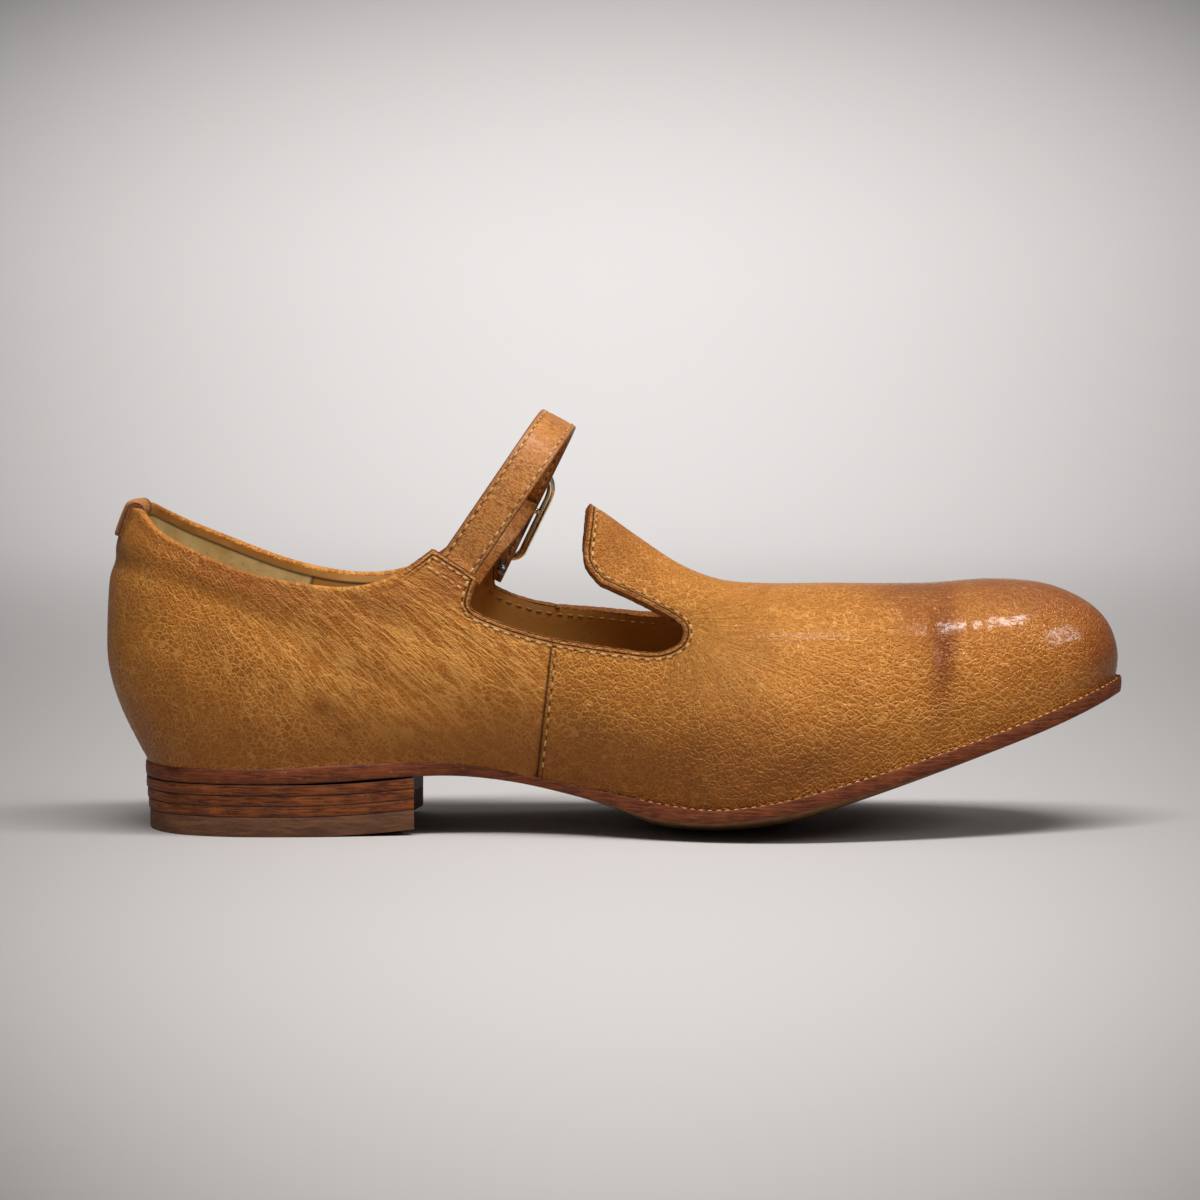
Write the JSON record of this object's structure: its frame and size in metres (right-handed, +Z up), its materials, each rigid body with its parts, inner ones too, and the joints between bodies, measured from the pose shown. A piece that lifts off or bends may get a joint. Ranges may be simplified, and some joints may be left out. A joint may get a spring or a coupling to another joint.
{
  "type": "mary jane shoe",
  "caption": "Left leather mary jane with a low stacked heel, a cut-away throat and a narrow buckled instep strap.",
  "frame": {"origin": "middle of the shoe's box on the plane that it stands on", "axes": "+X to the toe, +Y to the outer side of a left foot, +Z up"},
  "size_m": [0.2622, 0.0862, 0.1078],
  "materials": {
    "upper_leather": "tan hand-burnished calf, glossy over the toe",
    "lining_leather": "matt undyed lining leather",
    "sole_leather": "mahogany edge, burnished and waxed",
    "heel_leather": "stacked leather, fibrous cut edge, waxed",
    "top_rubber": "taupe rubber, matt",
    "buckle_metal": "pale gold plate, polished",
    "stud_steel": "grey steel, satin",
    "thread": "waxed linen thread"
  },
  "bodies": {
    "root": {"outsole": "sole_leather", "heel_lift_1": "heel_leather", "heel_lift_2": "heel_leather", "heel_lift_3": "heel_leather", "top_piece": "top_rubber", "upper": "upper_leather", "insole": "lining_leather", "strap": "upper_leather", "buckle_tab": "upper_leather", "buckle_frame": "buckle_metal", "buckle_prong": "buckle_metal", "tab_stud": "stud_steel", "heel_tab": "upper_leather"}
  },
  "joints": []
}
